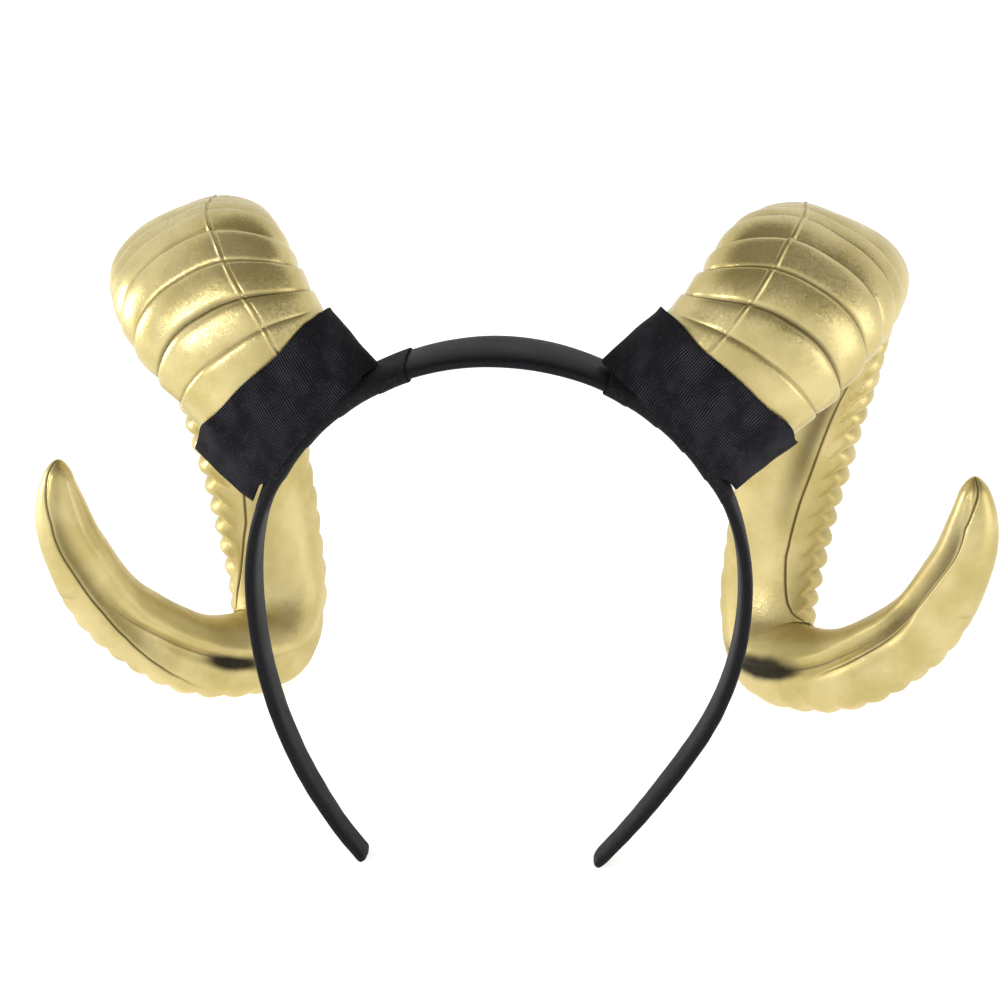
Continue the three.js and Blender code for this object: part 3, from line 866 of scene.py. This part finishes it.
def weaveGroup():
    # By its place on the flat cloth, in millimetres
    group, inside, outside = newGroup(
        "weave",
        [("Cloth", "NodeSocketVector", None), ("Rib Pitch", "NodeSocketFloat", 0.5),
         ("Slant", "NodeSocketFloat", 0.0), ("Thread Pitch", "NodeSocketFloat", 0.25)],
        [("Height", "NodeSocketFloat"), ("Rib Sheen", "NodeSocketFloat"), ("Lint", "NodeSocketFloat")])
    parts = group.nodes.new("ShaderNodeSeparateXYZ")
    group.links.new(inside.outputs["Cloth"], parts.inputs["Vector"])
    wobble = noiseNode(group, inside.outputs["Cloth"], *weaving["wobbleNoise"])
    across, along = parts.outputs["X"], parts.outputs["Y"]
    around = mathNode(group, "MULTIPLY_ADD", along, inside.outputs["Slant"], across)
    around = mathNode(group, "MULTIPLY_ADD", wobble, weaving["wobble"], around)
    ribs = mathNode(group, "DIVIDE", around, inside.outputs["Rib Pitch"])
    wave = mathNode(group, "SINE", mathNode(group, "MULTIPLY", ribs, 2 * math.pi))
    rib = mathNode(group, "MULTIPLY_ADD", wave, 0.5, 0.5)
    threads = mathNode(group, "DIVIDE", along, inside.outputs["Thread Pitch"])
    thread = mathNode(group, "SINE", mathNode(group, "MULTIPLY", threads, 2 * math.pi))
    thread = mathNode(group, "MULTIPLY_ADD", thread, weaving["threadHeight"], rib)
    group.links.new(thread, outside.inputs["Height"])
    # Patches where the painted sheen on the ribs is weaker
    sheenPatches = noiseNode(group, inside.outputs["Cloth"], *weaving["sheenPatchNoise"])
    sheenPatches = spread(group, sheenPatches, *weaving["sheenPatchRange"])
    # Painted sheen: the ribs' crests, shown lighter in the cloth's colour, weaker in patches
    ribSheen = mathNode(group, "MULTIPLY", mathNode(group, "POWER", rib, weaving["ribSharpness"]), sheenPatches)
    group.links.new(ribSheen, outside.inputs["Rib Sheen"])
    lint = noiseNode(group, inside.outputs["Cloth"], *weaving["lintNoise"])
    group.links.new(spread(group, lint, *weaving["lintRange"]), outside.inputs["Lint"])
    return group


def newMaterial(name):
    material = bpy.data.materials.new(name)
    material.use_nodes = True
    tree = material.node_tree
    shader = tree.nodes["Principled BSDF"]
    return material, tree, shader


def placeGroup(tree, group, **values):
    node = tree.nodes.new("ShaderNodeGroup")
    node.node_tree = group
    for label, value in values.items():
        node.inputs[label.replace("_", " ")].default_value = value
    return node


def bumpNode(tree, height, strength, distance):
    node = tree.nodes.new("ShaderNodeBump")
    node.inputs["Strength"].default_value = strength
    node.inputs["Distance"].default_value = distance
    tree.links.new(height, node.inputs["Height"])
    return node.outputs["Normal"]


goldPaint = {
    "light": (0.68, 0.57, 0.275),
    "deep": (0.53, 0.435, 0.17),
    # dark brown of the painted shade and of the seam lines
    "darkMarksAndShade": (0.05, 0.032, 0.012),
    "smoke": (0.014, 0.012, 0.009),  # of the stain
    "patchSize": 0.016,  # metres
    "metallic": 0.8,
    "roughness": (0.26, 0.38),
    "rubbed": 0.14,  # how much duller the paint is low on the horns
    "rubbedBelow": (0.05, 0.09),  # metres over the floor
    "flakeSize": 0.0005,
    "flakeLean": 0.08,
    "grain": 0.1,
    "darkMarksAndShadeRoughness": 0.25,
    "grooveShade": 0.85,
    "seamLinesAndShade": 0.8,
    "stainSoil": 0.96,
    "stainPatchy": (1.2, 0.4),  # how much of the unevenness tears the stain's edge, and the rest
    "stainRange": (0.1, 0.8),
    "toneRange": (0.3, 0.7),  # of the unevenness, from the light to the deep gold
}


def makeGold(grain):
    material, tree, shader = newMaterial("gold_paint")
    flakes = placeGroup(tree, grain, Flake_Size=goldPaint["flakeSize"], Flake_Lean=goldPaint["flakeLean"],
                        Roughness_Height=goldPaint["grain"], Unevenness_Size=goldPaint["patchSize"])
    masks = tree.nodes.new("ShaderNodeVertexColor")
    masks.layer_name = "masks"
    parts = tree.nodes.new("ShaderNodeSeparateColor")
    tree.links.new(masks.outputs["Color"], parts.inputs["Color"])
    groove, patch, seam = (parts.outputs[c] for c in ("Red", "Green", "Blue"))
    tone = spread(tree, flakes.outputs["Tone"], *goldPaint["toneRange"])
    colour = mixColour(tree, tone, goldPaint["light"], goldPaint["deep"])
    patchy = mathNode(tree, "MULTIPLY_ADD", flakes.outputs["Tone"], *goldPaint["stainPatchy"])
    ragged = mathNode(tree, "MULTIPLY", patch, patchy)
    stain = spread(tree, ragged, *goldPaint["stainRange"])
    # Painted shade in the rib grooves, and the dark seam lines with painted shade along the crease and in
    # bands beside the seams, mixed in toward a dark brown
    darkMarksAndShade = mathNode(tree, "MULTIPLY", groove, goldPaint["grooveShade"])
    darkMarksAndShade = mathNode(tree, "MAXIMUM", darkMarksAndShade, mathNode(tree, "MULTIPLY", seam, goldPaint["seamLinesAndShade"]))
    colour = mixColour(tree, darkMarksAndShade, colour, goldPaint["darkMarksAndShade"])
    stain = mathNode(tree, "MULTIPLY", stain, goldPaint["stainSoil"])
    colour = mixColour(tree, stain, colour, goldPaint["smoke"])
    darkMarksAndShade = mathNode(tree, "MAXIMUM", darkMarksAndShade, stain)
    tree.links.new(colour, shader.inputs["Base Color"])
    shader.inputs["Metallic"].default_value = goldPaint["metallic"]
    low, high = goldPaint["roughness"]
    rough = mathNode(tree, "MULTIPLY_ADD", flakes.outputs["Flake"], high - low, low)
    rough = mathNode(tree, "MULTIPLY_ADD", darkMarksAndShade, goldPaint["darkMarksAndShadeRoughness"], rough)
    place = tree.nodes.new("ShaderNodeSeparateXYZ")
    tree.links.new(tree.nodes.new("ShaderNodeTexCoord").outputs["Object"], place.inputs["Vector"])
    rubbed = spread(tree, place.outputs["Z"], *goldPaint["rubbedBelow"], goldPaint["rubbed"], 0.0)
    rough = mathNode(tree, "ADD", rough, rubbed)
    tree.links.new(rough, shader.inputs["Roughness"])
    tree.links.new(flakes.outputs["Normal"], shader.inputs["Normal"])
    return material


def clothInput(tree):
    node = tree.nodes.new("ShaderNodeUVMap")
    node.uv_map = "cloth"
    return node.outputs["UV"]


cloths = {
    # dark and light are the colours of the ribs' hollows and crests; the lighter crests are a painted sheen
    "grosgrain": {
        "dark": (0.003, 0.003, 0.004), "light": (0.06, 0.057, 0.07), "lint": (0.04, 0.04, 0.046),
        "roughness": 0.78, "relief": 0.9, "gloss": 0.08, "weave": {"Rib_Pitch": 0.64}},
    "binding_twill": {
        "dark": (0.004, 0.004, 0.005), "light": (0.016, 0.016, 0.019), "lint": (0.05, 0.05, 0.06),
        "roughness": 0.72, "relief": 0.6, "gloss": 0.15, "weave": {"Rib_Pitch": 0.45, "Slant": 0.7}},
    "hoop_satin": {
        "dark": (0.007, 0.007, 0.009), "light": (0.010, 0.010, 0.012), "lint": (0.03, 0.03, 0.035),
        "roughness": 0.55, "relief": 0.12, "gloss": 0.1, "weave": {"Rib_Pitch": 0.3}},
}


def makeCloth(name, weave):
    look = cloths[name]
    material, tree, shader = newMaterial(name)
    cloth = placeGroup(tree, weave, **look["weave"])
    tree.links.new(clothInput(tree), cloth.inputs["Cloth"])
    # Painted sheen: the ribs' crests lighter than their hollows
    colour = mixColour(tree, cloth.outputs["Rib Sheen"], look["dark"], look["light"])
    lint = mathNode(tree, "MULTIPLY", cloth.outputs["Lint"], weaving["lintShare"])
    colour = mixColour(tree, lint, colour, look["lint"])
    tree.links.new(colour, shader.inputs["Base Color"])
    rough = mathNode(tree, "MULTIPLY_ADD", cloth.outputs["Rib Sheen"], weaving["ribPolish"], look["roughness"])
    tree.links.new(rough, shader.inputs["Roughness"])
    normal = bumpNode(tree, cloth.outputs["Height"], look["relief"], weaving["threadDepth"])
    tree.links.new(normal, shader.inputs["Normal"])
    shader.inputs["Specular IOR Level"].default_value = look["gloss"]
    return material


# Camera: the photograph's view of the worn headband, 22 degrees over the plane of its arch
camera = {
    "azimuth": 4.8,
    "aboveArch": 22.0,
    "distance": 680.0,
    "scale": 3.8,  # pixels for a millimetre at the arch's centre, 1000 pixels across
    "centrePixel": (498.0, 588.0),
    "pictureWidth": 1000,
    "sensor": 36,
    "clip": (0.01, 50),  # metres
    "roll": -1.3,
}


def makeCamera():
    azimuth, elevation = math.radians(camera["azimuth"]), math.radians(camera["aboveArch"]) + leanBack
    back = Vector((
        math.sin(azimuth) * math.cos(elevation), -math.cos(azimuth) * math.cos(elevation),
        math.sin(elevation)))
    target = Vector(toRest(np.zeros(3)))
    data = bpy.data.cameras.new("camera")
    data.sensor_width = camera["sensor"]
    width = camera["pictureWidth"]
    data.lens = camera["scale"] * camera["distance"] / width * data.sensor_width
    u, v = camera["centrePixel"]
    data.shift_x = (width / 2 - u) / width
    data.shift_y = (v - width / 2) / width
    data.clip_start, data.clip_end = camera["clip"]
    eye = bpy.data.objects.new("camera", data)
    eye.location = target + back * camera["distance"] * millimetre
    turn = (-back).to_track_quat("-Z", "Y").to_matrix().to_4x4()
    eye.rotation_euler = (turn @ Matrix.Rotation(math.radians(camera["roll"]), 4, "Z")).to_euler()
    bpy.context.scene.collection.objects.link(eye)
    bpy.context.scene.camera = eye


def areaLight(name, place, target, size, power):
    data = bpy.data.lights.new(name, "AREA")
    data.shape = "RECTANGLE"
    data.size, data.size_y = size
    data.energy = power
    light = bpy.data.objects.new(name, data)
    light.location = place
    light.rotation_euler = (Vector(target) - Vector(place)).to_track_quat("-Z", "Y").to_euler()
    bpy.context.scene.collection.objects.link(light)


studio = {
    "floorReach": 6.0,
    "floorPaper": (0.92, 0.92, 0.92),
    "floorRoughness": 0.9,
    "floorGlow": 0.62,
    "around": 1.0,
    "aroundColour": (1.0, 1.0, 1.0),
    "darkTowards": (0.1, -0.08, 1.0),
    "darkSpread": (0.50, 0.80),
    "darkColour": (0.22, 0.205, 0.18),
    "lights": (
        ("side", (-1.3, 0.1, 0.2), (0.35, 0.5), 7.0),
        ("spot", (-0.8, -1.05, 0.62), (0.24, 0.24), 3.2),
        ("fill", (1.0, -0.5, 0.35), (0.7, 0.7), 2.0),
    ),
    "lightsAim": (0, 0, 0.09),
}


def makeStudio():
    floor = bpy.data.meshes.new("floor")
    far = studio["floorReach"]
    floor.from_pydata([(-far, -far, 0), (far, -far, 0), (far, far, 0), (-far, far, 0)], [], [(0, 1, 2, 3)])
    ground = bpy.data.objects.new("floor", floor)
    bpy.context.scene.collection.objects.link(ground)
    material, tree, shader = newMaterial("floor_paper")
    shader.inputs["Base Color"].default_value = (*studio["floorPaper"], 1)
    shader.inputs["Roughness"].default_value = studio["floorRoughness"]
    shader.inputs["Emission Color"].default_value = (1, 1, 1, 1)
    shader.inputs["Emission Strength"].default_value = studio["floorGlow"]
    floor.materials.append(material)
    world = bpy.data.worlds.new("studio")
    world.use_nodes = True
    bpy.context.scene.world = world
    tree = world.node_tree
    direction = tree.nodes.new("ShaderNodeTexCoord").outputs["Generated"]
    # White paper all round, and a darker room overhead
    room = tree.nodes.new("ShaderNodeVectorMath")
    room.operation = "DOT_PRODUCT"
    tree.links.new(direction, room.inputs[0])
    room.inputs[1].default_value = Vector(studio["darkTowards"]).normalized()
    dark = spread(tree, room.outputs["Value"], *studio["darkSpread"])
    colour = mixColour(tree, dark, studio["aroundColour"], studio["darkColour"])
    tree.links.new(colour, tree.nodes["Background"].inputs["Color"])
    tree.nodes["Background"].inputs["Strength"].default_value = studio["around"]
    for name, place, size, power in studio["lights"]:
        areaLight(name, place, studio["lightsAim"], size, power)
    view = bpy.context.scene.view_settings
    view.view_transform = "Standard"
    view.look = "None"
    view.exposure = 0.0


def main():
    makeCamera()
    makeStudio()
    print("camera and studio made")
    grain, weave = grainGroup(), weaveGroup()
    gold = makeGold(grain)
    cuffCloth, bindingCloth, satin = (
        makeCloth(name, weave) for name in ("grosgrain", "binding_twill", "hoop_satin"))
    print("materials made")
    band = makeHoop()
    band.data.materials.append(satin)
    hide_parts("headband")
    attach(band, "root")
    print("hoop made:", len(band.data.polygons), "faces")
    for side in ("left", "right"):
        skin = makeHorn(side)
        skin.data.materials.append(gold)
        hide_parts(f"horn_{side}")
        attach(skin, "root")
        print("horn made:", side, len(skin.data.polygons), "faces")
        wrap, flat = makeBinding(side)
        wrap.data.materials.append(bindingCloth)
        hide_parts(f"band_binding_{side}")
        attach(wrap, "root")
        print("binding made:", side, [round(v, 4) for v in flat])
        ribbon, flat = makeCuff(side)
        ribbon.data.materials.append(cuffCloth)
        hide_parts(f"horn_cuff_{side}")
        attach(ribbon, "root")
        print("cuff made:", side, [round(v, 4) for v in flat])


main()
